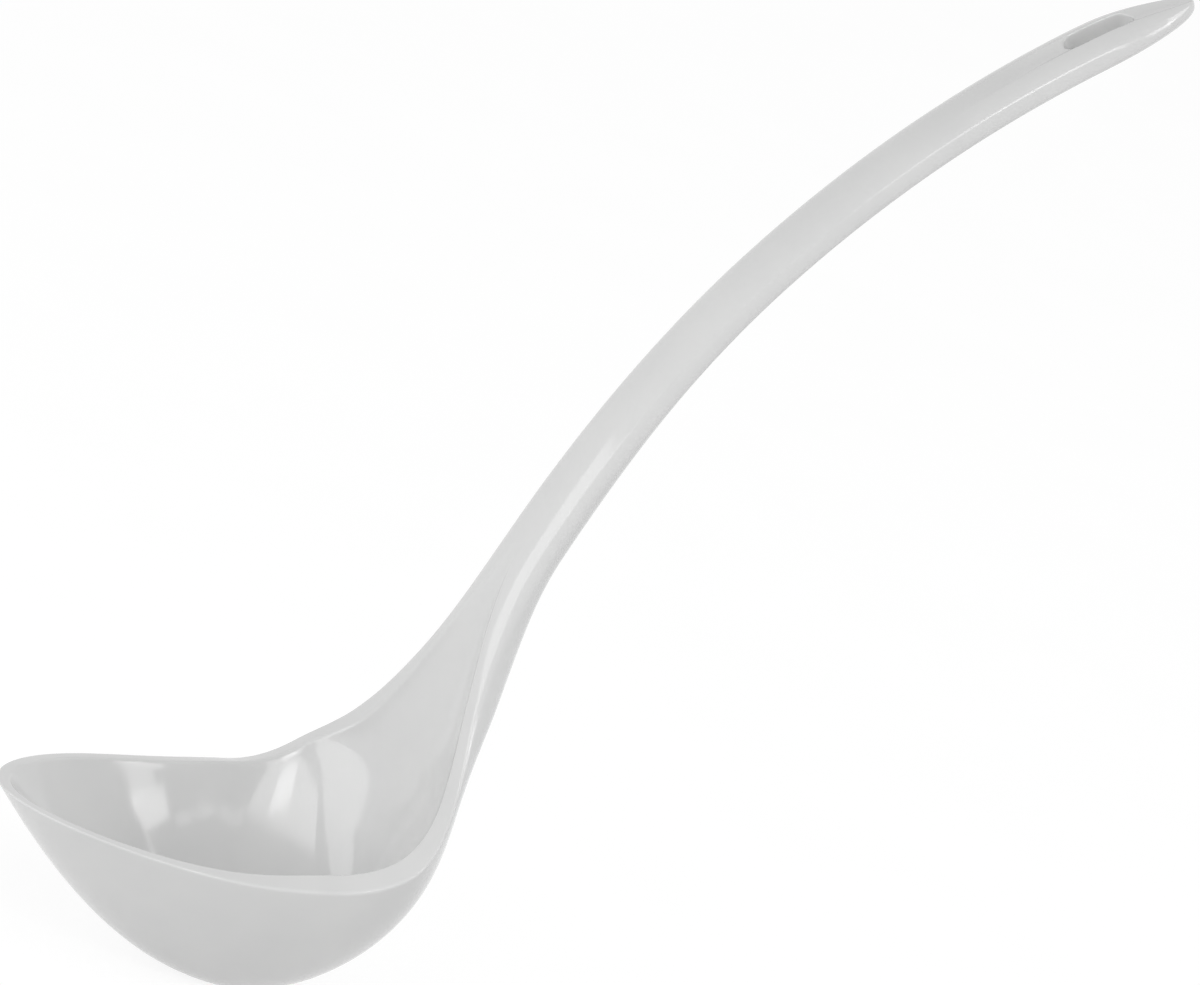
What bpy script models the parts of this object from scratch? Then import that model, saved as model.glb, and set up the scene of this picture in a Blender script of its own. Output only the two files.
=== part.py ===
"""Serving ladle, moulded in one piece.

The bowl has a pouring lip at the front. Its rim runs up through two shoulders into a troughed neck,
the neck closes into a round grip, and the grip ends in a dished tip with a hanging slot.

Metres, +Z up. The lip points to -X and the handle to +X, the ladle is symmetric about the XZ plane,
and the origin is the middle of the flat under the bowl.
"""
import math

import bmesh
import bpy
import numpy as np

# Bowl
BOWL_DEPTH = 0.0330
BOWL_FLOOR = 0.0040
LIP_REACH = 0.0594
LIP_LAND = 0.0028
LIP_DROP = 0.0011
LIP_SAG = 0.0017
RIM_FALL = 0.0015
EDGE_RADIUS = 0.0007
FOOT_TRIM = 0.0010
FOOT_FORWARD = 0.0015

# Spine: lengths between the stations, from the bowl's axis back along the rim and up the handle
SHOULDER_RUN = 0.0155
BACK_RUN = 0.0130
NECK_RUN = 0.0194
WAIST_RUN = 0.0320
GRIP_RUN = 0.0675
SLOT_RUN = 0.0799
TIP_RUN = 0.0206
BEND_LENGTH = 0.0418
NECK_ANGLE = math.radians(83.0)
TIP_ANGLE = math.radians(34.4)

# Widths over the outside at the stations: the bowl's at its axis, and what the shoulders add to it
BOWL_WIDTH = 0.0585
SHOULDER_FLARE = 0.0022
BACK_WIDTH = 0.0498
NECK_WIDTH = 0.0288
WAIST_WIDTH = 0.0159
GRIP_WIDTH = 0.0151
SLOT_END_WIDTH = 0.0150
TIP_WIDTH = 0.0100

# Rim or margin beside the hollow at the stations
AXIS_LAND = 0.0051
SHOULDER_LAND = 0.0052
BACK_LAND = 0.0053
NECK_LAND = 0.0038
WAIST_LAND = 0.0063
GRIP_LAND = 0.0050
SLOT_LAND = 0.0039
TIP_LAND = 0.0010

# Depth of the hollow below the crown, and material under it, at the stations
SHOULDER_HOLLOW = 0.0190
BACK_HOLLOW = 0.0066
NECK_HOLLOW = 0.0039
SHOULDER_FLOOR = 0.0040
BACK_FLOOR = 0.0038
NECK_FLOOR = 0.0063
WAIST_FLOOR = 0.0085
GRIP_FLOOR = 0.0067
SLOT_FLOOR = 0.0074
TIP_FLOOR = 0.0066

# Height of the crown above the edges at the stations past the shoulder
BACK_CROWN = 0.0008
NECK_CROWN = 0.0013
WAIST_CROWN = 0.0026
GRIP_CROWN = 0.0041
SLOT_CROWN = 0.0038
TIP_CROWN = 0.0022

# Dished end and hanging slot
DISH_DEPTH = 0.0007
DISH_LENGTH = 0.030
SLOT_LENGTH = 0.0147
SLOT_WIDTH = 0.0052
NOSE_LENGTH = 0.0265

# Shape of the sections: where the wall's tangent meets the floor's, as a share of the half width,
# and the weight of the conic between them
LIP_FULLNESS = 0.43
SIDE_FULLNESS = 0.69
SHOULDER_FULLNESS = 0.76
BACK_FULLNESS = 0.70
TROUGH_FULLNESS = 0.60
LIP_WEIGHT = 1.05
SIDE_WEIGHT = 0.70
SHOULDER_WEIGHT = 0.90
BACK_WEIGHT = 0.66
ROUND_WEIGHT = math.sqrt(0.5)
BEND_LEAD = 0.69
LIP_POWER = 1.88
NOSE_POWER = 2.6
NOSE_THINNING = 0.34

# Points across a section and rows along the body
BOTTOM_POINTS = 12
CORNER_POINTS = 2
LAND_POINTS = 6
HOLLOW_POINTS = 11
LIP_ROWS = 14
FOOT_ROWS = 7
ROW_STEP_BOWL = 0.0020
ROW_STEP_HANDLE = 0.0065
SLOT_ARC_ROWS = 5
NOSE_ROWS = 9
WELD = 0.00001
SHARP_ANGLE = math.radians(40.0)


def ease(share):
    """Smooth step from 0 to 1."""
    share = np.clip(share, 0.0, 1.0)
    return share * share * (3.0 - 2.0 * share)


def spline(knots, values, at, start_slope=0.0, end_slope=None):
    """Cubic spline through the values, with given end slopes or a straight run-out.

    Its slopes are held back so that it never swings past the values it joins.
    """
    knots = np.asarray(knots, float)
    values = np.asarray(values, float)
    gaps = np.diff(knots)
    rises = np.diff(values) / gaps
    size = len(knots)
    matrix = np.zeros((size, size))
    right = np.zeros(size)
    matrix[0, 0] = 1.0
    right[0] = start_slope
    for row in range(1, size - 1):
        matrix[row, row - 1] = 1.0 / gaps[row - 1]
        matrix[row, row] = 2.0 / gaps[row - 1] + 2.0 / gaps[row]
        matrix[row, row + 1] = 1.0 / gaps[row]
        right[row] = 3.0 * (rises[row - 1] / gaps[row - 1] + rises[row] / gaps[row])
    if end_slope is None:
        matrix[-1, -2:] = (1.0, 2.0)
        right[-1] = 3.0 * rises[-1]
    else:
        matrix[-1, -1] = 1.0
        right[-1] = end_slope
    slopes = np.linalg.solve(matrix, right)
    steepest = 3.0 * np.minimum(np.abs(rises[:-1]), np.abs(rises[1:])) * (rises[:-1] * rises[1:] > 0.0)
    trend = np.sign(rises[:-1])
    slopes[1:-1] = trend * np.clip(trend * slopes[1:-1], 0.0, steepest)
    piece = np.clip(np.searchsorted(knots, at) - 1, 0, size - 2)
    t = (at - knots[piece]) / gaps[piece]
    gap = gaps[piece]
    return ((2 * t**3 - 3 * t**2 + 1) * values[piece] + (t**3 - 2 * t**2 + t) * gap * slopes[piece]
            + (3 * t**2 - 2 * t**3) * values[piece + 1] + (t**3 - t**2) * gap * slopes[piece + 1])


def station_places():
    """Distances of the stations along the spine: axis, shoulder, back, neck, waist, grip, slot, tip."""
    runs = (0.0, SHOULDER_RUN, BACK_RUN, NECK_RUN, WAIST_RUN, GRIP_RUN, SLOT_RUN, TIP_RUN)
    return np.cumsum(runs)


def spine(along):
    """Point and angle of the spine in the XZ plane, by adding up its direction along its length.

    It leaves the bowl's axis level with the rim, turns up to the neck's angle over the bend and
    then leans back evenly to the tip's angle.
    """
    length = station_places()[-1]
    steps = np.linspace(0.0, length, 2001)
    share = np.clip(steps / BEND_LENGTH, 0.0, 1.0)
    turn = NECK_ANGLE * (BEND_LEAD * share * (2.0 - share) + (1.0 - BEND_LEAD) * ease(share))
    lean = np.clip((steps - BEND_LENGTH) / (length - BEND_LENGTH), 0.0, 1.0)
    angle = turn - (NECK_ANGLE - TIP_ANGLE) * lean
    half = np.diff(steps) / 2.0
    across = np.cos(angle)
    upward = np.sin(angle)
    x = np.concatenate(([0.0], np.cumsum(half * (across[1:] + across[:-1]))))
    z = np.concatenate(([0.0], np.cumsum(half * (upward[1:] + upward[:-1]))))
    x = np.interp(along, steps, x) + FOOT_FORWARD
    z = np.interp(along, steps, z) + BOWL_DEPTH + rim_rise(along)
    return x, z, np.interp(along, steps, angle)


def rim_rise(along):
    """Height that the rim gains beside the axis, so that it leaves the lip's sag without a kink."""
    length = SHOULDER_RUN + BACK_RUN
    slope = 2.0 * LIP_SAG / (BOWL_WIDTH / 2.0)
    return slope * along * np.maximum(1.0 - along / length, 0.0)**2


def conic(fullness, weight, t):
    """Quarter of a conic: share of the half width, and share of the depth, from the middle (t 0) to the edge."""
    middle = (1.0 - t)**2
    corner = 2.0 * weight * t * (1.0 - t)
    edge = t**2
    total = middle + corner + edge
    return (corner * fullness + edge) / total, (middle + corner) / total


def conic_place(fullness, weight, share):
    """The conic's t at a share of the half width."""
    a = share * (2.0 - 2.0 * weight) + 2.0 * weight * fullness - 1.0
    b = share * (2.0 * weight - 2.0) - 2.0 * weight * fullness
    a = np.where(np.abs(a) < 1e-9, 1e-9, a)
    return (-b - np.sqrt(np.maximum(b * b - 4.0 * a * share, 0.0))) / (2.0 * a)


def conic_height(weight, rise):
    """The conic's t at a share of the height, counted up from the middle."""
    a = 1.0 - rise * (2.0 - 2.0 * weight)
    b = rise * (2.0 - 2.0 * weight)
    return (-b + np.sqrt(b * b + 4.0 * a * rise)) / (2.0 * a)


def half_sections(size):
    """Half sections as two arrays, out and up, one row each: bottom middle, edge, land, hollow, top middle.

    The bottom is a conic. The top is a crown over the whole width with the hollow, another conic,
    taken out of it. Both edges of the land are rounded. A gap leaves the slot open in the middle,
    and a cut, a share of the bottom's height, leaves out what the flat under the bowl takes off.
    """
    half, inner, crown, crown_power, hollow, below, gap, cut = (size[name][:, None] for name in (
        "half", "inner", "crown", "crown_power", "hollow", "below", "gap", "cut"))
    full, weight, trough_full, trough_weight = (size[name][:, None] for name in (
        "full", "weight", "trough_full", "trough_weight"))
    radius = np.minimum(EDGE_RADIUS, 0.2 * np.minimum(inner, half - inner))

    def top(out):
        return crown * np.maximum(1.0 - (out / half)**2, 0.0)**crown_power

    def bottom_point(t):
        share, depth = conic(full, weight, t)
        return half * share, -depth * below

    def hollow_point(t):
        share, depth = conic(trough_full, trough_weight, t)
        return inner * share, top(inner * share) - depth * hollow

    def corner(start, middle, end):
        t = np.linspace(0.0, 1.0, CORNER_POINTS + 2)[None, 1:-1]
        return [(1 - t)**2 * a + 2 * t * (1 - t) * b + t**2 * c for a, b, c in zip(start, middle, end)]

    bottom_speed = 2.0 * weight * np.hypot((1.0 - full) * half, below)
    hollow_speed = 2.0 * trough_weight * np.hypot((1.0 - trough_full) * inner, hollow)
    bottom_end = 1.0 - np.minimum(radius / bottom_speed, 0.3)
    bottom_start = conic_place(full, weight, gap / half) + conic_height(weight, cut)
    hollow_start = conic_place(trough_full, trough_weight, gap / inner)
    hollow_end = np.maximum(1.0 - np.minimum(radius / hollow_speed, 0.3), (1.0 + hollow_start) / 2.0)

    step = np.linspace(0.0, 1.0, BOTTOM_POINTS)[None, :]
    bottom = bottom_point(bottom_start + (bottom_end - bottom_start) * step)
    step = np.linspace(0.0, 1.0, LAND_POINTS)[None, :]
    land_out = (half - radius) + (inner - half + 2.0 * radius) * step
    land = land_out, top(land_out)
    step = np.linspace(1.0, 0.0, HOLLOW_POINTS)[None, :]
    trough = hollow_point(hollow_start + (hollow_end - hollow_start) * step)

    ends = [(side[0][:, :1], side[1][:, :1]) for side in (land, trough)]
    lasts = [(side[0][:, -1:], side[1][:, -1:]) for side in (bottom, land)]
    outer_corner = corner(lasts[0], (half, 0.0 * half), ends[0])
    inner_corner = corner(lasts[1], (inner, top(inner)), ends[1])
    parts = (bottom, outer_corner, land, inner_corner, trough)
    return [np.concatenate([part[axis] for part in parts], axis=1) for axis in (0, 1)]


def slot_gap(along, start, end):
    """Half width of the hanging slot, a run with two round ends."""
    radius = SLOT_WIDTH / 2.0
    past = np.minimum(along - start, end - along)
    round_end = np.sqrt(np.maximum(radius**2 - (radius - np.clip(past, 0.0, radius))**2, 0.0))
    return np.where(past > 0.0, round_end, 0.0)


def depth_profile(along):
    """Crown, depth of the hollow and depth of the bottom along the spine, before the dish and the nose."""
    places = station_places()
    crowns = (rim_crown(), rim_crown(), BACK_CROWN, NECK_CROWN, WAIST_CROWN, GRIP_CROWN, SLOT_CROWN, TIP_CROWN)
    hollows = (BOWL_DEPTH + FOOT_TRIM - BOWL_FLOOR + rim_crown(), SHOULDER_HOLLOW, BACK_HOLLOW, NECK_HOLLOW, 0.0)
    floors = (BOWL_FLOOR, SHOULDER_FLOOR, BACK_FLOOR, NECK_FLOOR, WAIST_FLOOR, GRIP_FLOOR, SLOT_FLOOR, TIP_FLOOR)
    crown = spline(places, crowns, along)
    hollow = spline(places[:5], hollows, np.minimum(along, places[4]), 0.0, 0.0) + rim_rise(along)
    return crown, hollow, hollow + spline(places, floors, along) - crown


def foot_share(along):
    """Share of the bottom's height that the flat under the bowl takes off, below 0 where it takes none."""
    x, z, angle = spine(along)
    return 1.0 - z / (np.maximum(np.cos(angle), 1e-3) * depth_profile(along)[2])


def body_rows():
    """Distances of the rows along the spine, finer at the foot, the slot's round ends and the nose."""
    places = station_places()
    start = places[6] - SLOT_LENGTH / 2.0
    end = places[6] + SLOT_LENGTH / 2.0
    radius = SLOT_WIDTH / 2.0
    nose = places[7] - NOSE_LENGTH
    arc = radius * (1.0 - np.cos(np.linspace(0.0, math.pi / 2.0, SLOT_ARC_ROWS + 1)))
    first = np.linspace(0.0, places[1], 401)
    foot = np.interp(0.0, -foot_share(first), first)
    around = np.concatenate((
        foot * np.sin(np.linspace(0.0, math.pi / 2.0, FOOT_ROWS)),
        np.arange(foot + ROW_STEP_BOWL, places[3], ROW_STEP_BOWL),
        np.arange(places[3], nose, ROW_STEP_HANDLE),
        nose + NOSE_LENGTH * np.sin(np.linspace(0.0, math.pi / 2.0, NOSE_ROWS)),
    ))
    clear = (around < start - ROW_STEP_BOWL / 2.0) | (around > end + ROW_STEP_BOWL / 2.0)
    slot = np.concatenate((start + arc, np.linspace(start + radius, end - radius, 5)[1:-1], end - arc[::-1]))
    return np.sort(np.concatenate((around[clear], slot))), start, end


def body_sizes(along, start, end):
    """Sizes of the sections from the bowl's axis to the tip."""
    places = station_places()
    widths = (BOWL_WIDTH, BOWL_WIDTH + SHOULDER_FLARE, BACK_WIDTH, NECK_WIDTH, WAIST_WIDTH, GRIP_WIDTH,
              SLOT_END_WIDTH, TIP_WIDTH)
    lands = (AXIS_LAND, SHOULDER_LAND, BACK_LAND, NECK_LAND, WAIST_LAND, GRIP_LAND, SLOT_LAND, TIP_LAND)
    half = spline(places, np.array(widths) / 2.0, along)
    inner = spline(places, np.array(widths) / 2.0 - np.array(lands), along)
    crown, hollow, below = depth_profile(along)
    dish = DISH_DEPTH * ease((along - start + DISH_LENGTH) / DISH_LENGTH)
    cut = np.where(along < places[1], np.maximum(foot_share(along), 0.0), 0.0)
    into_handle = ease((along - places[1]) / (places[4] - places[1]))
    in_bowl = np.minimum(along, places[3])
    fullness = (SIDE_FULLNESS, SHOULDER_FULLNESS, BACK_FULLNESS)
    weights = (SIDE_WEIGHT, SHOULDER_WEIGHT, BACK_WEIGHT)
    nose = np.clip((along - places[7] + NOSE_LENGTH) / NOSE_LENGTH, 0.0, 1.0)
    shrink = np.sqrt(np.maximum(1.0 - nose**NOSE_POWER, 1e-24))
    thin = shrink**NOSE_THINNING
    return {
        "half": half * shrink, "inner": inner * shrink,
        "crown": crown * thin, "crown_power": 1.0 - 0.5 * into_handle,
        "hollow": (hollow + dish) * thin, "below": below * thin,
        "full": spline(places[:4], fullness + (1.0,), in_bowl, 0.0, 0.0),
        "weight": spline(places[:4], weights + (ROUND_WEIGHT,), in_bowl, 0.0, 0.0),
        "trough_full": spline(places[:4], fullness + (TROUGH_FULLNESS,), in_bowl, 0.0, 0.0),
        "trough_weight": spline(places[:4], weights + (ROUND_WEIGHT,), in_bowl, 0.0, 0.0),
        "gap": slot_gap(along, start, end), "cut": cut,
    }


def rim_crown():
    """Crown over the bowl that makes the land fall by RIM_FALL from its inner to its outer edge."""
    share = 1.0 - 2.0 * AXIS_LAND / BOWL_WIDTH
    return RIM_FALL / (1.0 - share**2)


def lip_sizes(turn):
    """Sizes of the spokes from the lip (turn of 90 degrees) round to the bowl's side (0), and the rim's heights."""
    to_lip = np.sin(turn)**2
    sideways = np.abs(np.cos(turn) / (BOWL_WIDTH / 2.0))**LIP_POWER
    forward = np.abs(np.sin(turn) / LIP_REACH)**LIP_POWER
    half = (sideways + forward)**(-1.0 / LIP_POWER)
    lift = -LIP_DROP * to_lip - LIP_SAG * 2.0 * np.sin(turn) * np.cos(turn)**2
    height = BOWL_DEPTH + FOOT_TRIM + lift
    crown = rim_crown() * (1.0 - to_lip)
    full = SIDE_FULLNESS + (LIP_FULLNESS - SIDE_FULLNESS) * to_lip
    weight = SIDE_WEIGHT + (LIP_WEIGHT - SIDE_WEIGHT) * to_lip
    same = np.ones_like(turn)
    return {
        "half": half, "inner": half - (AXIS_LAND + (LIP_LAND - AXIS_LAND) * to_lip),
        "crown": crown, "crown_power": same,
        "hollow": height - BOWL_FLOOR + crown, "below": height,
        "full": full, "weight": weight, "trough_full": full, "trough_weight": weight,
        "gap": 0.0 * turn, "cut": FOOT_TRIM / height,
    }, height - FOOT_TRIM


def half_surface():
    """Grid of points over the half with Y from 0 up, and the rows between which the slot is open."""
    turn = np.linspace(math.pi / 2.0, 0.0, LIP_ROWS + 1)[:-1]
    sizes, rim = lip_sizes(turn)
    out, up = half_sections(sizes)
    front = np.stack((FOOT_FORWARD - out * np.sin(turn)[:, None], out * np.cos(turn)[:, None],
                      rim[:, None] + up), axis=-1)
    along, start, end = body_rows()
    out, up = half_sections(body_sizes(along, start, end))
    x, z, angle = (value[:, None] for value in spine(along))
    back = np.stack((x - up * np.sin(angle), out, z + up * np.cos(angle)), axis=-1)
    slot = LIP_ROWS + np.nonzero((along >= start - 1e-9) & (along <= end + 1e-9))[0]
    return np.concatenate((front, back)), slot


def build_mesh(name):
    """Closed mesh: the half surface with the slot's wall, its mirror image, and the flat under the bowl."""
    grid, slot = half_surface()
    shell = bmesh.new()
    points = [[shell.verts.new(point) for point in row] for row in grid]
    for near, far in zip(points[:-1], points[1:]):
        for column in range(len(near) - 1):
            shell.faces.new((near[column], near[column + 1], far[column + 1], far[column]))
    for row in slot[:-1]:
        near, far = points[row], points[row + 1]
        shell.faces.new((near[-1], near[0], far[0], far[-1]))
    bmesh.ops.remove_doubles(shell, verts=shell.verts, dist=WELD)
    half = shell.verts[:] + shell.edges[:] + shell.faces[:]
    bmesh.ops.mirror(shell, geom=half, axis="Y", merge_dist=WELD)
    bmesh.ops.remove_doubles(shell, verts=shell.verts, dist=WELD)
    foot_edge = [edge for edge in shell.edges if edge.is_boundary]
    bmesh.ops.edgeloop_fill(shell, edges=foot_edge)
    bmesh.ops.recalc_face_normals(shell, faces=shell.faces)
    for face in shell.faces:
        face.smooth = True
    for edge in shell.edges:
        edge.smooth = edge.calc_face_angle(0.0) < SHARP_ANGLE
    for edge in foot_edge:
        edge.smooth = False
    mesh = bpy.data.meshes.new(name)
    shell.to_mesh(mesh)
    shell.free()
    return mesh


def gloss_white():
    """Glossy white moulding compound."""
    material = bpy.data.materials.new("gloss_white")
    material.use_nodes = True
    shader = material.node_tree.nodes["Principled BSDF"]
    shader.inputs["Base Color"].default_value = (0.72, 0.72, 0.71, 1.0)
    shader.inputs["Roughness"].default_value = 0.18
    shader.inputs["Metallic"].default_value = 0.0
    return material


for leftover in list(bpy.data.objects):
    bpy.data.objects.remove(leftover, do_unlink=True)

ladle = bpy.data.objects.new("ladle", build_mesh("ladle"))
ladle.data.materials.append(gloss_white())
bpy.context.scene.collection.objects.link(ladle)
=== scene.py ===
"""Serving ladle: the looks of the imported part.

The moulding is one numpy surface in fine steps, made from stations, splines and conics as the solid is.
Its hollow has straighter walls than the solid's, its edges other roundings, and its tip a slimmer underside.
A gloss white material, a white floor and soft studio light go with it.
"""
import math

import bmesh
import bpy
import numpy as np
from mathutils import Matrix, Vector


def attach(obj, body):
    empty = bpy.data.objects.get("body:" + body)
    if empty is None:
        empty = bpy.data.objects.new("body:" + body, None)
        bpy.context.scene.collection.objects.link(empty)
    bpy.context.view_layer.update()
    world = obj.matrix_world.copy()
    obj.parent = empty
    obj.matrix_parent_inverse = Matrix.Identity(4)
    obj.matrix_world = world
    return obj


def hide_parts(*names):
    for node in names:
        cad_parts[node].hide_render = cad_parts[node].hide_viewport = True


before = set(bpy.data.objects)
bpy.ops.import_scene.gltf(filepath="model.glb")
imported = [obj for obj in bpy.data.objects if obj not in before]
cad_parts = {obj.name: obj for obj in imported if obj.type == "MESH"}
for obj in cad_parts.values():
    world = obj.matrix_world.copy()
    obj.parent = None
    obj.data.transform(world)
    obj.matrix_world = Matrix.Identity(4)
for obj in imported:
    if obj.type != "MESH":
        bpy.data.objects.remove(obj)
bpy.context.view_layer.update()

# Bowl, in metres
BOWL_DEPTH = 0.0330
BOWL_FLOOR = 0.0040
BOWL_WIDTH = 0.0585
LIP_REACH = 0.0594
LIP_LAND = 0.0028
LIP_DROP = 0.0011
LIP_SAG = 0.0017
RIM_FALL = 0.0015
FOOT_TRIM = 0.0010
FOOT_FORWARD = 0.0015

# Rounded edges: outer ones at the rim and handle, inner ones round the hollow and at the handle's ridge.
# The limits are the largest shares of the land, the hollow and the conics that a rounding may take.
RIM_EDGE = 0.0008
HANDLE_EDGE = 0.0012
HOLLOW_EDGE = 0.0007
RIDGE_EDGE = 0.0003
EDGE_LIMIT = 0.3
RIDGE_LIMIT = 0.2
CONIC_LIMIT = 0.3

# Stations along the spine: axis, shoulder, back, neck, waist, grip, slot, tip
RUNS = (0.0, 0.0155, 0.0130, 0.0194, 0.0320, 0.0675, 0.0799, 0.0204)
WIDTHS = (BOWL_WIDTH, 0.0607, 0.0498, 0.0288, 0.0159, 0.0151, 0.0150, 0.0100)
LANDS = (0.0051, 0.0052, 0.0053, 0.0038, 0.0063, 0.0050, 0.0047, 0.0016)
FLOORS = (0.0040, 0.0040, 0.0038, 0.0063, 0.0085, 0.0067, 0.0074, 0.0066)
CROWNS = (0.0008, 0.0013, 0.0026, 0.0041, 0.0038, 0.0021)
BOWL_CROWN_POWER = 1.0
HANDLE_CROWN_POWER = 0.5
HOLLOWS = (0.0190, 0.0066, 0.0039, 0.0)
PLACES = np.cumsum(RUNS)
BEND_LENGTH = 0.0418
BEND_LEAD = 0.69
NECK_ANGLE = math.radians(83.0)
TIP_ANGLE = math.radians(34.4)

# Sections: fullness and weight of the conic at the lip, then at the axis, shoulder and back,
# for the outside and for the hollow
LIP_SHAPE = (0.43, 1.05)
FULLNESS = (0.69, 0.76, 0.70)
WEIGHTS = (0.70, 0.90, 0.66)
HOLLOW_LIP_SHAPE = (0.46, 1.00)
HOLLOW_FULLNESS = (0.42, 0.58, 0.66)
HOLLOW_WEIGHTS = (0.60, 0.65, 0.66)
TROUGH_FULLNESS = 0.60
ROUND_WEIGHT = math.sqrt(0.5)
LIP_POWER = 1.88

# Dished end, hanging slot and nose
DISH_DEPTH = 0.0009
DISH_LENGTH = 0.030
SLOT_LENGTH = 0.0147
SLOT_WIDTH = 0.0052
SLOT_ROUNDING = 0.0004
NOSE_LENGTH = 0.0265
NOSE_POWER = 2.6
NOSE_THINNING = 0.34
UNDERSIDE_THINNING = 0.75

# Steps of the surface; the foot's margin puts its last row just past the end of the flat, and the slot's
# leads are the rows outside its edge, in shares of the rounding
SPINE_STEPS = 4001
BOTTOM_POINTS = 32
CORNER_POINTS = 6
LAND_POINTS = 12
HOLLOW_POINTS = 32
LIP_ROWS = 80
FOOT_ROWS = 12
FOOT_SEARCH_STEPS = 401
FOOT_MARGIN = 0.000001
BOWL_STEP = 0.0005
HANDLE_STEP = 0.0013
SLOT_ARC_ROWS = 15
SLOT_SIDE_ROWS = 14
SLOT_LEADS = (1.3, 1.0, 0.8, 0.6, 0.42, 0.28, 0.16, 0.07)
NOSE_ROWS = 30
MERGE_DISTANCE = 0.000002
NEAR_ZERO = 1e-9
LEAST_COSINE = 1e-3
LEAST_SHRINK = 1e-24

# Gloss white and paper white: the part of a noise that is used, colours, features per metre, roughness
# and ripple
NOISE_LOW = 0.3
NOISE_HIGH = 0.7
WHITE_LOW = (0.685, 0.687, 0.686, 1.0)
WHITE_HIGH = (0.715, 0.716, 0.712, 1.0)
CLOUD_SCALE = 55.0
GLOSS_SCALE = 140.0
GLOSS_LOW = 0.07
GLOSS_HIGH = 0.12
RIPPLE_SCALE = 90.0
RIPPLE_STRENGTH = 0.35
RIPPLE_HEIGHT = 0.0002
REFRACTION = 1.5
PAPER_LOW = (0.79, 0.79, 0.79, 1.0)
PAPER_HIGH = (0.82, 0.82, 0.82, 1.0)
PAPER_SCALE = 20.0
PLAIN_WHITE = (1.0, 1.0, 1.0, 1.0)

# Floor and light
FLOOR_REACH = 6.0
FLOOR_GLOW = 0.80
GLOW_STRENGTH = 1.1
FILL_LIGHT = 0.51
BOWL_MIDDLE = (-0.010, 0.010, 0.028)

# Camera, from the photograph: degrees, metres, and millimetres of lens and sensor
CAMERA_AROUND = -31.20
CAMERA_ABOVE = 18.35
CAMERA_ROLL = 20.79
CAMERA_PIVOT = (0.0415, 0.0, 0.060)
CAMERA_DISTANCE = 1.3
CAMERA_OFFSET = (0.01862, 0.04620)
CAMERA_LENS = 201.0
CAMERA_SENSOR = 36.0


def ease(share):
    """Smooth step: three times the square less twice the cube."""
    share = np.clip(share, 0.0, 1.0)
    return share * share * (3.0 - 2.0 * share)


def spline(knots, values, at, start_slope=0.0, end_slope=None):
    """Cubic spline through the values; its slopes are held back so that it never swings past them."""
    knots = np.asarray(knots, float)
    values = np.asarray(values, float)
    gaps = np.diff(knots)
    rises = np.diff(values) / gaps
    size = len(knots)
    matrix = np.zeros((size, size))
    right = np.zeros(size)
    matrix[0, 0] = 1.0
    right[0] = start_slope
    for row in range(1, size - 1):
        matrix[row, row - 1] = 1.0 / gaps[row - 1]
        matrix[row, row] = 2.0 / gaps[row - 1] + 2.0 / gaps[row]
        matrix[row, row + 1] = 1.0 / gaps[row]
        right[row] = 3.0 * (rises[row - 1] / gaps[row - 1] + rises[row] / gaps[row])
    if end_slope is None:
        matrix[-1, -2:] = (1.0, 2.0)
        right[-1] = 3.0 * rises[-1]
    else:
        matrix[-1, -1] = 1.0
        right[-1] = end_slope
    slopes = np.linalg.solve(matrix, right)
    steepest = 3.0 * np.minimum(np.abs(rises[:-1]), np.abs(rises[1:])) * (rises[:-1] * rises[1:] > 0.0)
    trend = np.sign(rises[:-1])
    slopes[1:-1] = trend * np.clip(trend * slopes[1:-1], 0.0, steepest)
    piece = np.clip(np.searchsorted(knots, at) - 1, 0, size - 2)
    gap = gaps[piece]
    t = (at - knots[piece]) / gap
    return ((2 * t**3 - 3 * t**2 + 1) * values[piece] + (t**3 - 2 * t**2 + t) * gap * slopes[piece]
            + (3 * t**2 - 2 * t**3) * values[piece + 1] + (t**3 - t**2) * gap * slopes[piece + 1])


def spine(along):
    """Point and angle in the XZ plane: the running sum of a direction that bends up, then leans back."""
    steps = np.linspace(0.0, PLACES[-1], SPINE_STEPS)
    share = np.clip(steps / BEND_LENGTH, 0.0, 1.0)
    turn = NECK_ANGLE * (BEND_LEAD * share * (2.0 - share) + (1.0 - BEND_LEAD) * ease(share))
    lean = np.clip((steps - BEND_LENGTH) / (PLACES[-1] - BEND_LENGTH), 0.0, 1.0)
    angle = turn - (NECK_ANGLE - TIP_ANGLE) * lean
    half = np.diff(steps) / 2.0
    x = np.concatenate(([0.0], np.cumsum(half * (np.cos(angle)[1:] + np.cos(angle)[:-1]))))
    z = np.concatenate(([0.0], np.cumsum(half * (np.sin(angle)[1:] + np.sin(angle)[:-1]))))
    z = np.interp(along, steps, z) + BOWL_DEPTH + rim_rise(along)
    return np.interp(along, steps, x) + FOOT_FORWARD, z, np.interp(along, steps, angle)


def rim_rise(along):
    """Height that the rim gains beside the axis: the sag's slope times the distance, faded with a square."""
    slope = 2.0 * LIP_SAG / (BOWL_WIDTH / 2.0)
    return slope * along * np.maximum(1.0 - along / PLACES[2], 0.0)**2


def conic(fullness, weight, t):
    """Quarter conic by weighted corners: share of the half width and share of the depth, middle to edge."""
    middle = (1.0 - t)**2
    corner = 2.0 * weight * t * (1.0 - t)
    total = middle + corner + t**2
    return (corner * fullness + t**2) / total, (middle + corner) / total


def conic_place(fullness, weight, share):
    """The conic's t at a share of the half width: the root of its quadratic."""
    a = share * (2.0 - 2.0 * weight) + 2.0 * weight * fullness - 1.0
    b = share * (2.0 * weight - 2.0) - 2.0 * weight * fullness
    a = np.where(np.abs(a) < NEAR_ZERO, NEAR_ZERO, a)
    return (-b - np.sqrt(np.maximum(b * b - 4.0 * a * share, 0.0))) / (2.0 * a)


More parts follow.
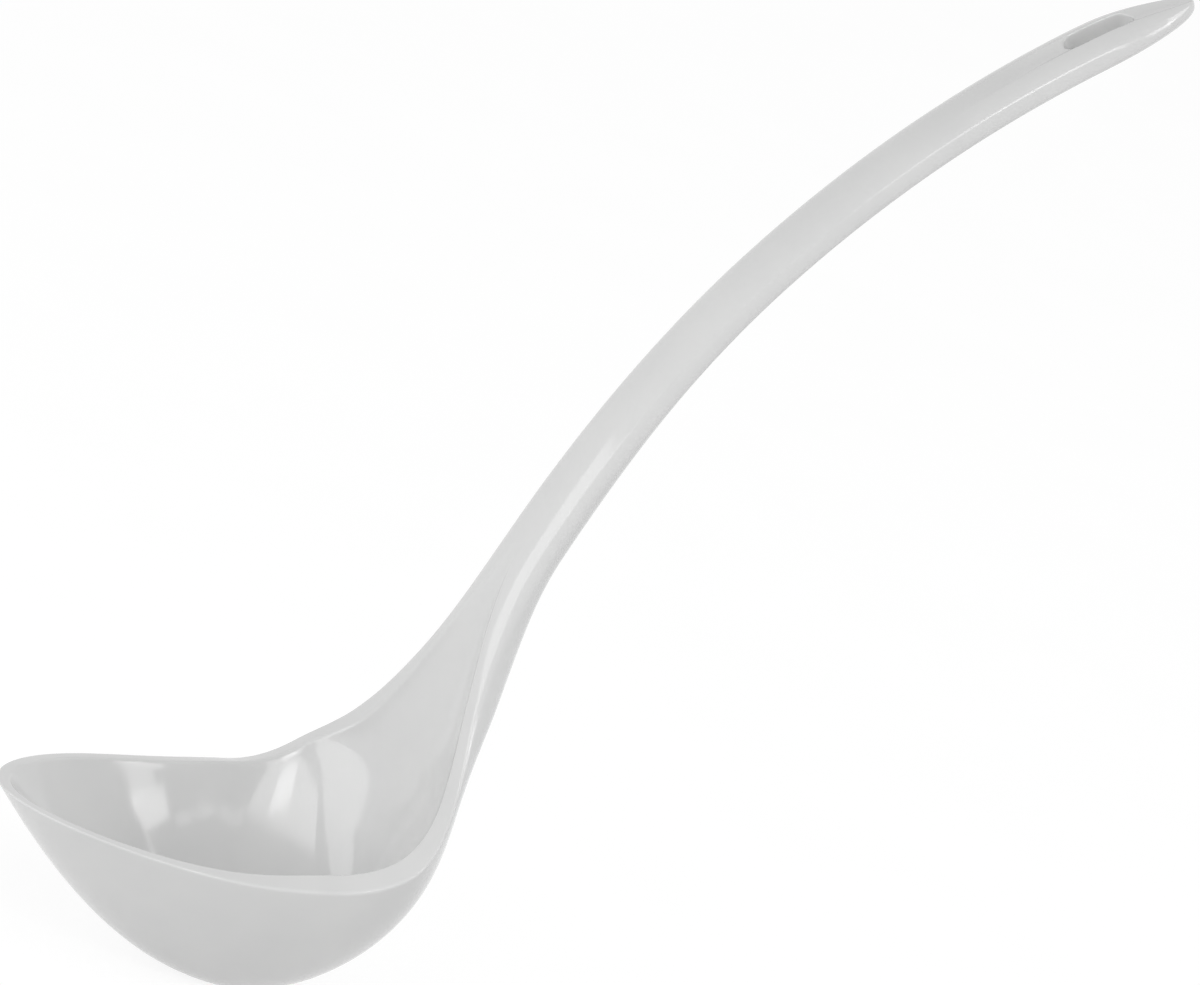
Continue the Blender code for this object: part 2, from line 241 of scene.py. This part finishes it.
def conic_height(weight, rise):
    """The conic's t at a share of the height, counted up from the middle."""
    a = 1.0 - rise * (2.0 - 2.0 * weight)
    b = rise * (2.0 - 2.0 * weight)
    return (-b + np.sqrt(b * b + 4.0 * a * rise)) / (2.0 * a)


def half_sections(size):
    """Half sections, out and up, a row each: conic bottom, rounded edge, crowned land, rounded edge and
    conic hollow.
    """
    half, inner, crown, crown_power, hollow, below, gap, cut = (size[name][:, None] for name in (
        "half", "inner", "crown", "crown_power", "hollow", "below", "gap", "cut"))
    full, weight, trough_full, trough_weight, ahead, edge, ridge = (size[name][:, None] for name in (
        "full", "weight", "trough_full", "trough_weight", "ahead", "edge", "ridge"))
    edge = np.minimum(edge, EDGE_LIMIT * (half - inner))
    ridge = np.minimum(ridge, RIDGE_LIMIT * np.minimum(inner, half - inner))

    def top(out):
        return crown * np.maximum(1.0 - (out / half)**2, 0.0)**crown_power

    def rounding(out):
        past = np.hypot(ahead, out) - SLOT_WIDTH / 2.0
        past = SLOT_ROUNDING - np.clip(past, 0.0, SLOT_ROUNDING)
        return SLOT_ROUNDING - np.sqrt(SLOT_ROUNDING**2 - past**2)

    def bottom_point(t):
        share, depth = conic(full, weight, t)
        return half * share, rounding(half * share) - depth * below

    def hollow_point(t):
        share, depth = conic(trough_full, trough_weight, t)
        return inner * share, top(inner * share) - depth * hollow - rounding(inner * share)

    def corner(start, middle, end):
        t = np.linspace(0.0, 1.0, CORNER_POINTS + 2)[None, 1:-1]
        return [(1 - t)**2 * a + 2 * t * (1 - t) * b + t**2 * c for a, b, c in zip(start, middle, end)]

    bottom_speed = 2.0 * weight * np.hypot((1.0 - full) * half, below)
    hollow_speed = 2.0 * trough_weight * np.hypot((1.0 - trough_full) * inner, hollow)
    bottom_end = 1.0 - np.minimum(edge / bottom_speed, CONIC_LIMIT)
    bottom_start = conic_place(full, weight, gap / half) + conic_height(weight, cut)
    hollow_start = conic_place(trough_full, trough_weight, gap / inner)
    hollow_end = 1.0 - np.minimum(ridge / hollow_speed, CONIC_LIMIT)
    hollow_end = np.maximum(hollow_end, (1.0 + hollow_start) / 2.0)

    step = np.linspace(0.0, 1.0, BOTTOM_POINTS)[None, :]
    bottom = bottom_point(bottom_start + (bottom_end - bottom_start) * step)
    step = np.linspace(0.0, 1.0, LAND_POINTS)[None, :]
    land_out = inner + ridge + (half - edge - inner - ridge) * np.cos(step * math.pi / 2.0)
    land = land_out, top(land_out)
    step = np.linspace(1.0, 0.0, HOLLOW_POINTS)[None, :]
    trough = hollow_point(hollow_start + (hollow_end - hollow_start) * step)

    ends = [(side[0][:, :1], side[1][:, :1]) for side in (land, trough)]
    lasts = [(side[0][:, -1:], side[1][:, -1:]) for side in (bottom, land)]
    outer_corner = corner(lasts[0], (half, 0.0 * half), ends[0])
    inner_corner = corner(lasts[1], (inner, top(inner)), ends[1])
    parts = (bottom, outer_corner, land, inner_corner, trough)
    return [np.concatenate([part[axis] for part in parts], axis=1) for axis in (0, 1)]


def rim_crown():
    """Crown over the bowl that lets the land fall by RIM_FALL from its inner to its outer edge."""
    share = 1.0 - 2.0 * LANDS[0] / BOWL_WIDTH
    return RIM_FALL / (1.0 - share**2)


def depth_profile(along):
    """Crown, depth of the hollow and depth of the bottom: splines through the stations."""
    crown = spline(PLACES, (rim_crown(), rim_crown()) + CROWNS, along)
    hollows = (BOWL_DEPTH + FOOT_TRIM - BOWL_FLOOR + rim_crown(),) + HOLLOWS
    hollow = spline(PLACES[:5], hollows, np.minimum(along, PLACES[4]), 0.0, 0.0) + rim_rise(along)
    return crown, hollow, hollow + spline(PLACES, FLOORS, along) - crown


def foot_share(along):
    """Share of the bottom's height below the flat: 1 less the spine's height over the bottom's depth."""
    x, z, angle = spine(along)
    return 1.0 - z / (np.maximum(np.cos(angle), LEAST_COSINE) * depth_profile(along)[2])


def body_rows():
    """Distances of the rows: close together at the foot, at the slot's edge and towards the nose's end."""
    first = np.linspace(0.0, PLACES[1], FOOT_SEARCH_STEPS)
    foot = np.interp(0.0, -foot_share(first), first) + FOOT_MARGIN
    radius = SLOT_WIDTH / 2.0
    start = PLACES[6] - SLOT_LENGTH / 2.0
    end = PLACES[6] + SLOT_LENGTH / 2.0
    arc = radius * (1.0 - np.cos(np.linspace(0.0, math.pi / 2.0, SLOT_ARC_ROWS)))
    lead = SLOT_ROUNDING * np.array(SLOT_LEADS)
    side = np.linspace(start + radius, end - radius, SLOT_SIDE_ROWS)[1:-1]
    slot = np.concatenate((start - lead, start + arc, side, end - arc[::-1], end + lead[::-1]))
    nose = PLACES[7] - NOSE_LENGTH
    around = np.concatenate((
        foot * np.sin(np.linspace(0.0, math.pi / 2.0, FOOT_ROWS)),
        np.arange(foot + BOWL_STEP, PLACES[3], BOWL_STEP),
        np.arange(PLACES[3], nose, HANDLE_STEP),
        nose + NOSE_LENGTH * np.sin(np.linspace(0.0, math.pi / 2.0, NOSE_ROWS)),
    ))
    clear = (around < slot[0] - BOWL_STEP / 2.0) | (around > slot[-1] + BOWL_STEP / 2.0)
    return np.sort(np.concatenate((around[clear], slot))), start, end


def body_sizes(along, start, end):
    """Sizes of the sections from the bowl's axis to the tip: splines through the stations, shrunk over the
    nose, where the widths go with the root of 1 less a power of the distance and the heights with a power
    of that root.
    """
    crown, hollow, below = depth_profile(along)
    nose = np.clip((along - PLACES[7] + NOSE_LENGTH) / NOSE_LENGTH, 0.0, 1.0)
    shrink = np.sqrt(np.maximum(1.0 - nose**NOSE_POWER, LEAST_SHRINK))
    thin = shrink**NOSE_THINNING
    in_bowl = np.minimum(along, PLACES[3])
    radius = SLOT_WIDTH / 2.0
    past = np.clip(np.minimum(along - start, end - along), 0.0, radius)
    dish = DISH_DEPTH * ease((along - start + DISH_LENGTH) / DISH_LENGTH)
    halves = np.array(WIDTHS) / 2.0
    past_shoulder = ease((along - PLACES[1]) / (PLACES[4] - PLACES[1]))
    past_back = ease((along - PLACES[2]) / (PLACES[4] - PLACES[2]))
    past_waist = ease((along - PLACES[4]) / RUNS[5])
    return {
        "half": spline(PLACES, halves, along) * shrink,
        "inner": spline(PLACES, halves - np.array(LANDS), along) * shrink,
        "crown": crown * thin,
        "hollow": (hollow + dish) * thin,
        "below": below * shrink**UNDERSIDE_THINNING,
        "crown_power": BOWL_CROWN_POWER + (HANDLE_CROWN_POWER - BOWL_CROWN_POWER) * past_shoulder,
        "full": spline(PLACES[:4], FULLNESS + (1.0,), in_bowl, 0.0, 0.0),
        "weight": spline(PLACES[:4], WEIGHTS + (ROUND_WEIGHT,), in_bowl, 0.0, 0.0),
        "trough_full": spline(PLACES[:4], HOLLOW_FULLNESS + (TROUGH_FULLNESS,), in_bowl, 0.0, 0.0),
        "trough_weight": spline(PLACES[:4], HOLLOW_WEIGHTS + (ROUND_WEIGHT,), in_bowl, 0.0, 0.0),
        "edge": RIM_EDGE + (HANDLE_EDGE - RIM_EDGE) * past_back,
        "ridge": HOLLOW_EDGE + (RIDGE_EDGE - HOLLOW_EDGE) * past_waist,
        "gap": np.sqrt(np.maximum(radius**2 - (radius - past)**2, 0.0)),
        "ahead": np.maximum(np.maximum(start + radius - along, along - end + radius), 0.0),
        "cut": np.where(along < PLACES[1], np.maximum(foot_share(along), 0.0), 0.0),
    }


def lip_sizes(turn):
    """Sizes of the spokes round the lip, and the rim's height: the plan is a superellipse, the height falls
    with the sine squared and sags by twice the sine times the cosine squared, and the rest goes over with
    the sine squared.
    """
    to_lip = np.sin(turn)**2
    sideways = np.abs(np.cos(turn) / (BOWL_WIDTH / 2.0))**LIP_POWER
    forward = np.abs(np.sin(turn) / LIP_REACH)**LIP_POWER
    half = (sideways + forward)**(-1.0 / LIP_POWER)
    height = BOWL_DEPTH + FOOT_TRIM - LIP_DROP * to_lip - LIP_SAG * 2.0 * np.sin(turn) * np.cos(turn)**2
    crown = rim_crown() * (1.0 - to_lip)
    side_shape = (FULLNESS[0], WEIGHTS[0])
    hollow_side_shape = (HOLLOW_FULLNESS[0], HOLLOW_WEIGHTS[0])
    outside = [side + (lip - side) * to_lip for side, lip in zip(side_shape, LIP_SHAPE)]
    inside = [side + (lip - side) * to_lip for side, lip in zip(hollow_side_shape, HOLLOW_LIP_SHAPE)]
    same = np.ones_like(turn)
    return {
        "half": half,
        "inner": half - (LANDS[0] + (LIP_LAND - LANDS[0]) * to_lip),
        "crown": crown,
        "crown_power": BOWL_CROWN_POWER * same,
        "hollow": height - BOWL_FLOOR + crown,
        "below": height,
        "full": outside[0],
        "weight": outside[1],
        "trough_full": inside[0],
        "trough_weight": inside[1],
        "edge": RIM_EDGE * same,
        "ridge": HOLLOW_EDGE * same,
        "gap": 0.0 * turn,
        "ahead": same,
        "cut": FOOT_TRIM / height,
    }, height - FOOT_TRIM


def ladle_surface():
    """Grid of the half with Y from 0 up: spokes fanned round the lip, then sections square to the spine."""
    turn = np.linspace(math.pi / 2.0, 0.0, LIP_ROWS + 1)[:-1]
    sizes, rim = lip_sizes(turn)
    out, up = half_sections(sizes)
    front = np.stack((FOOT_FORWARD - out * np.sin(turn)[:, None], out * np.cos(turn)[:, None],
                      rim[:, None] + up), axis=-1)
    along, start, end = body_rows()
    out, up = half_sections(body_sizes(along, start, end))
    x, z, angle = (value[:, None] for value in spine(along))
    back = np.stack((x - up * np.sin(angle), out, z + up * np.cos(angle)), axis=-1)
    in_slot = np.nonzero((along >= start - NEAR_ZERO) & (along <= end + NEAR_ZERO))[0] + LIP_ROWS
    return np.concatenate((front, back)), in_slot, LIP_ROWS + FOOT_ROWS


def ladle_mesh(name):
    """Closed mesh: the half grid and its mirror image, the slot's wall and the flat under the bowl."""
    grid, in_slot, foot_rows = ladle_surface()
    rows, columns = grid.shape[:2]
    number = np.arange(rows * columns).reshape(rows, columns)
    corners = (number[:-1, :-1], number[:-1, 1:], number[1:, 1:], number[1:, :-1])
    quads = np.stack(corners, axis=-1).reshape(-1, 4)
    wall = np.stack((number[in_slot[:-1], -1], number[in_slot[:-1], 0], number[in_slot[1:], 0],
                     number[in_slot[1:], -1]), axis=-1)
    half = np.concatenate((quads, wall))
    points = grid.reshape(-1, 3)
    mirrored = points * (1.0, -1.0, 1.0)
    faces = np.concatenate((half, half[:, ::-1] + len(points))).tolist()
    foot = number[:foot_rows, 0]
    faces.append(foot.tolist() + (foot[::-1] + len(points)).tolist())
    mesh = bpy.data.meshes.new(name)
    mesh.from_pydata(np.concatenate((points, mirrored)).tolist(), [], faces)
    shell = bmesh.new()
    shell.from_mesh(mesh)
    bmesh.ops.remove_doubles(shell, verts=shell.verts, dist=MERGE_DISTANCE)
    bmesh.ops.recalc_face_normals(shell, faces=shell.faces)
    for face in shell.faces:
        face.smooth = True
        if len(face.verts) > 4:
            for edge in face.edges:
                edge.smooth = False
    shell.to_mesh(mesh)
    shell.free()
    return mesh


def new_material(name):
    """Empty node material, with its nodes and links."""
    material = bpy.data.materials.new(name)
    material.use_nodes = True
    tree = material.node_tree
    tree.nodes.clear()
    return material, tree.nodes, tree.links


def noise(nodes, links, place, scale, detail, roughness):
    """Noise on the piece's own coordinates; the scale is in features per metre."""
    node = nodes.new("ShaderNodeTexNoise")
    node.inputs["Scale"].default_value = scale
    node.inputs["Detail"].default_value = detail
    node.inputs["Roughness"].default_value = roughness
    links.new(place, node.inputs["Vector"])
    return node.outputs["Fac"]


def ramp(nodes, links, value, low, high):
    """Spreads the middle of a noise between two grey levels."""
    node = nodes.new("ShaderNodeMapRange")
    node.inputs["From Min"].default_value = NOISE_LOW
    node.inputs["From Max"].default_value = NOISE_HIGH
    node.inputs["To Min"].default_value = low
    node.inputs["To Max"].default_value = high
    links.new(value, node.inputs["Value"])
    return node.outputs["Result"]


def gloss_white():
    """Glossy white moulding: faint clouds in the white, an uneven gloss and a slight ripple in the skin."""
    material, nodes, links = new_material("gloss_white")
    place = nodes.new("ShaderNodeTexCoord").outputs["Object"]
    shader = nodes.new("ShaderNodeBsdfPrincipled")
    output = nodes.new("ShaderNodeOutputMaterial")
    clouds = nodes.new("ShaderNodeMix")
    clouds.data_type = "RGBA"
    clouds.inputs["A"].default_value = WHITE_LOW
    clouds.inputs["B"].default_value = WHITE_HIGH
    spread = ramp(nodes, links, noise(nodes, links, place, CLOUD_SCALE, 3.0, 0.5), 0.0, 1.0)
    links.new(spread, clouds.inputs["Factor"])
    links.new(clouds.outputs["Result"], shader.inputs["Base Color"])
    gloss = ramp(nodes, links, noise(nodes, links, place, GLOSS_SCALE, 4.0, 0.6), GLOSS_LOW, GLOSS_HIGH)
    links.new(gloss, shader.inputs["Roughness"])
    ripple = nodes.new("ShaderNodeBump")
    ripple.inputs["Strength"].default_value = RIPPLE_STRENGTH
    ripple.inputs["Distance"].default_value = RIPPLE_HEIGHT
    links.new(noise(nodes, links, place, RIPPLE_SCALE, 1.0, 0.4), ripple.inputs["Height"])
    links.new(ripple.outputs["Normal"], shader.inputs["Normal"])
    shader.inputs["IOR"].default_value = REFRACTION
    links.new(shader.outputs["BSDF"], output.inputs["Surface"])
    return material


def seen_directly(nodes, links):
    """1 for rays from the camera and rays mirrored or let through by a piece, 0 for light on the pieces."""
    path = nodes.new("ShaderNodeLightPath")
    first = nodes.new("ShaderNodeMath")
    first.operation = "MAXIMUM"
    links.new(path.outputs["Is Camera Ray"], first.inputs[0])
    links.new(path.outputs["Is Glossy Ray"], first.inputs[1])
    both = nodes.new("ShaderNodeMath")
    both.operation = "MAXIMUM"
    links.new(first.outputs["Value"], both.inputs[0])
    links.new(path.outputs["Is Transmission Ray"], both.inputs[1])
    return both.outputs["Value"]


def white_floor():
    """White sweep: mostly its own even white to the eye, so that only a faint soft shadow shows."""
    material, nodes, links = new_material("white_floor")
    place = nodes.new("ShaderNodeTexCoord").outputs["Object"]
    paper = nodes.new("ShaderNodeBsdfDiffuse")
    grain = nodes.new("ShaderNodeMix")
    grain.data_type = "RGBA"
    grain.inputs["A"].default_value = PAPER_LOW
    grain.inputs["B"].default_value = PAPER_HIGH
    spread = ramp(nodes, links, noise(nodes, links, place, PAPER_SCALE, 2.0, 0.5), 0.0, 1.0)
    links.new(spread, grain.inputs["Factor"])
    links.new(grain.outputs["Result"], paper.inputs["Color"])
    glow = nodes.new("ShaderNodeEmission")
    glow.inputs["Color"].default_value = PLAIN_WHITE
    glow.inputs["Strength"].default_value = GLOW_STRENGTH
    share = nodes.new("ShaderNodeMath")
    share.operation = "MULTIPLY"
    share.inputs[1].default_value = FLOOR_GLOW
    links.new(seen_directly(nodes, links), share.inputs[0])
    mix = nodes.new("ShaderNodeMixShader")
    links.new(share.outputs["Value"], mix.inputs["Fac"])
    links.new(paper.outputs["BSDF"], mix.inputs[1])
    links.new(glow.outputs["Emission"], mix.inputs[2])
    output = nodes.new("ShaderNodeOutputMaterial")
    links.new(mix.outputs["Shader"], output.inputs["Surface"])
    return material


def studio_world():
    """Even grey light from all round, which is white where it is seen or mirrored."""
    world = bpy.data.worlds.new("studio")
    world.use_nodes = True
    nodes = world.node_tree.nodes
    links = world.node_tree.links
    nodes.clear()
    strength = nodes.new("ShaderNodeMapRange")
    strength.inputs["To Min"].default_value = FILL_LIGHT
    strength.inputs["To Max"].default_value = 1.0
    links.new(seen_directly(nodes, links), strength.inputs["Value"])
    light = nodes.new("ShaderNodeBackground")
    light.inputs["Color"].default_value = PLAIN_WHITE
    links.new(strength.outputs["Result"], light.inputs["Strength"])
    output = nodes.new("ShaderNodeOutputWorld")
    links.new(light.outputs["Background"], output.inputs["Surface"])
    bpy.context.scene.world = world


def softbox(name, around, above, distance, width, height, brightness):
    """Area lamp facing the bowl, at an angle round from +X and above the floor; its power is the brightness
    of its face times its area times pi.
    """
    around = math.radians(around)
    above = math.radians(above)
    level = math.cos(above)
    away = Vector((math.cos(around) * level, math.sin(around) * level, math.sin(above)))
    lamp = bpy.data.lights.new(name, "AREA")
    lamp.shape = "RECTANGLE"
    lamp.size = width
    lamp.size_y = height
    lamp.energy = brightness * width * height * math.pi
    holder = bpy.data.objects.new(name, lamp)
    holder.location = Vector(BOWL_MIDDLE) + away * distance
    holder.rotation_euler = away.to_track_quat("Z", "Y").to_euler()
    holder.visible_camera = False
    bpy.context.scene.collection.objects.link(holder)


def photo_camera():
    """Camera turned round and above the ladle and rolled; it looks at the middle of the frame."""
    around, above, roll = (math.radians(value) for value in (CAMERA_AROUND, CAMERA_ABOVE, CAMERA_ROLL))
    level = Vector((math.cos(around), math.sin(around), 0.0))
    ahead = Vector((-math.sin(around), math.cos(around), 0.0))
    upward = ahead * math.sin(above) + Vector((0.0, 0.0, math.cos(above)))
    back = Vector((0.0, 0.0, math.sin(above))) - ahead * math.cos(above)
    right = level * math.cos(roll) + upward * math.sin(roll)
    top = upward * math.cos(roll) - level * math.sin(roll)
    place = Vector(CAMERA_PIVOT) + back * CAMERA_DISTANCE
    centre = Vector(CAMERA_PIVOT) + right * CAMERA_OFFSET[0] + top * CAMERA_OFFSET[1]
    back = (place - centre).normalized()
    right = (right - back * right.dot(back)).normalized()
    top = back.cross(right)
    lens = bpy.data.cameras.new("camera")
    lens.sensor_width = CAMERA_SENSOR
    lens.lens = CAMERA_LENS
    camera = bpy.data.objects.new("camera", lens)
    camera.matrix_world = Matrix((
        (right.x, top.x, back.x, place.x),
        (right.y, top.y, back.y, place.y),
        (right.z, top.z, back.z, place.z),
        (0.0, 0.0, 0.0, 1.0),
    ))
    bpy.context.scene.collection.objects.link(camera)
    bpy.context.scene.camera = camera


ladle = bpy.data.objects.new("ladle_moulding", ladle_mesh("ladle_moulding"))
ladle.data.materials.append(gloss_white())
bpy.context.scene.collection.objects.link(ladle)
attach(ladle, "root")
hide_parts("ladle")

floor_mesh = bpy.data.meshes.new("floor")
floor_corners = [(FLOOR_REACH * right, FLOOR_REACH * back, 0.0)
                 for right, back in ((-1, -1), (1, -1), (1, 1), (-1, 1))]
floor_mesh.from_pydata(floor_corners, [], [(0, 1, 2, 3)])
floor = bpy.data.objects.new("floor", floor_mesh)
floor_mesh.materials.append(white_floor())
bpy.context.scene.collection.objects.link(floor)

studio_world()
# Lamps: degrees round and above, then distance, width and height in metres, and brightness
softbox("right_softbox", -30.0, 40.0, 2.5, 1.00, 0.83, 3.2)
softbox("window_softbox", -47.0, 31.7, 2.5, 0.80, 0.21, 4.8)
softbox("window_panel", -45.5, 27.0, 2.5, 0.62, 0.20, 2.6)
softbox("small_softbox", -64.0, 34.5, 2.5, 0.22, 0.125, 1.8)
softbox("front_softbox", -93.0, 36.5, 2.5, 0.75, 0.175, 4.2)
softbox("front_panel", -107.5, 37.2, 2.55, 3.15, 0.41, 2.9)
softbox("side_panel", -172.0, 13.0, 0.6, 0.86, 0.28, 2.15)
photo_camera()
bpy.context.scene.view_settings.view_transform = "Standard"
